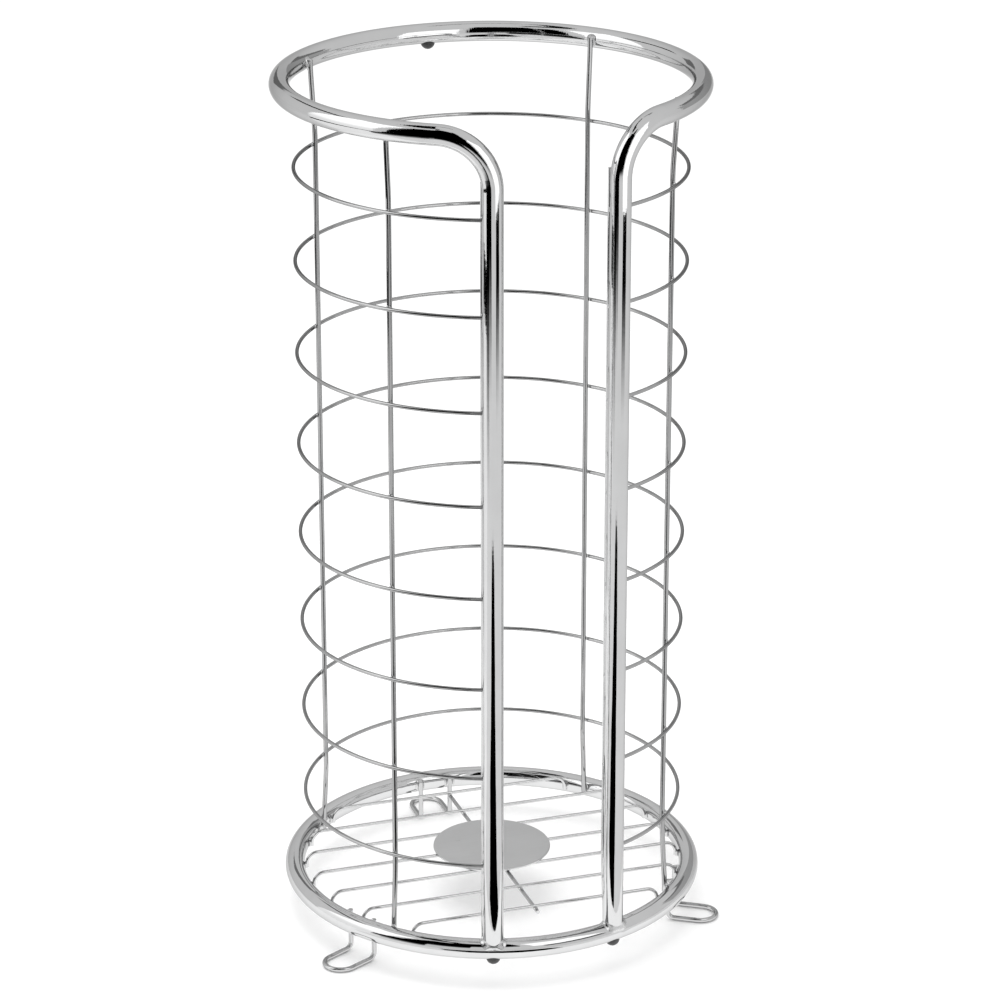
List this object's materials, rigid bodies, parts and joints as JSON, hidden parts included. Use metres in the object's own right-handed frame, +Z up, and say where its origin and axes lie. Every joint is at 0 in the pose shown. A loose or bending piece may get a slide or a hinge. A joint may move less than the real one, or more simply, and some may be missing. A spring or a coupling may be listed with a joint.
{
  "type": "toilet roll storage holder",
  "caption": "Free-standing open-fronted wire canister in chrome that stores spare toilet rolls stacked on a wire base, with a tube rail, front posts, hoops and wire loop feet.",
  "frame": {"origin": "on the floor, under the axis of the canister", "axes": "+Z up, -Y out of the open front, +X to the right of someone who faces the open front"},
  "size_m": [0.1592, 0.1688, 0.3264],
  "materials": {
    "tube": "polished chrome plate on bent steel tube",
    "wire": "polished chrome plate on drawn steel wire",
    "disc": "chrome plate on flat stamped steel, slightly satin",
    "foot": "polished chrome plate on bent steel wire",
    "plug": "matte black rubber"
  },
  "bodies": {
    "root": {"frame_tube": "tube", "base_ring": "tube", "hoop_1": "wire", "hoop_2": "wire", "hoop_3": "wire", "hoop_4": "wire", "hoop_5": "wire", "hoop_6": "wire", "hoop_7": "wire", "hoop_8": "wire", "upright_front_left": "wire", "upright_front_right": "wire", "upright_back_left": "wire", "upright_back_right": "wire", "upright_post_left": "wire", "upright_post_right": "wire", "grid_wire_1": "wire", "grid_wire_2": "wire", "grid_wire_3": "wire", "grid_wire_4": "wire", "grid_wire_5": "wire", "grid_wire_6": "wire", "grid_wire_7": "wire", "grid_cross_wire": "wire", "centre_disc": "disc", "foot_loop_left": "foot", "foot_loop_right": "foot", "foot_loop_back": "foot", "plug_rail_back": "plug", "plug_base_left": "plug", "plug_base_right": "plug"}
  },
  "joints": []
}
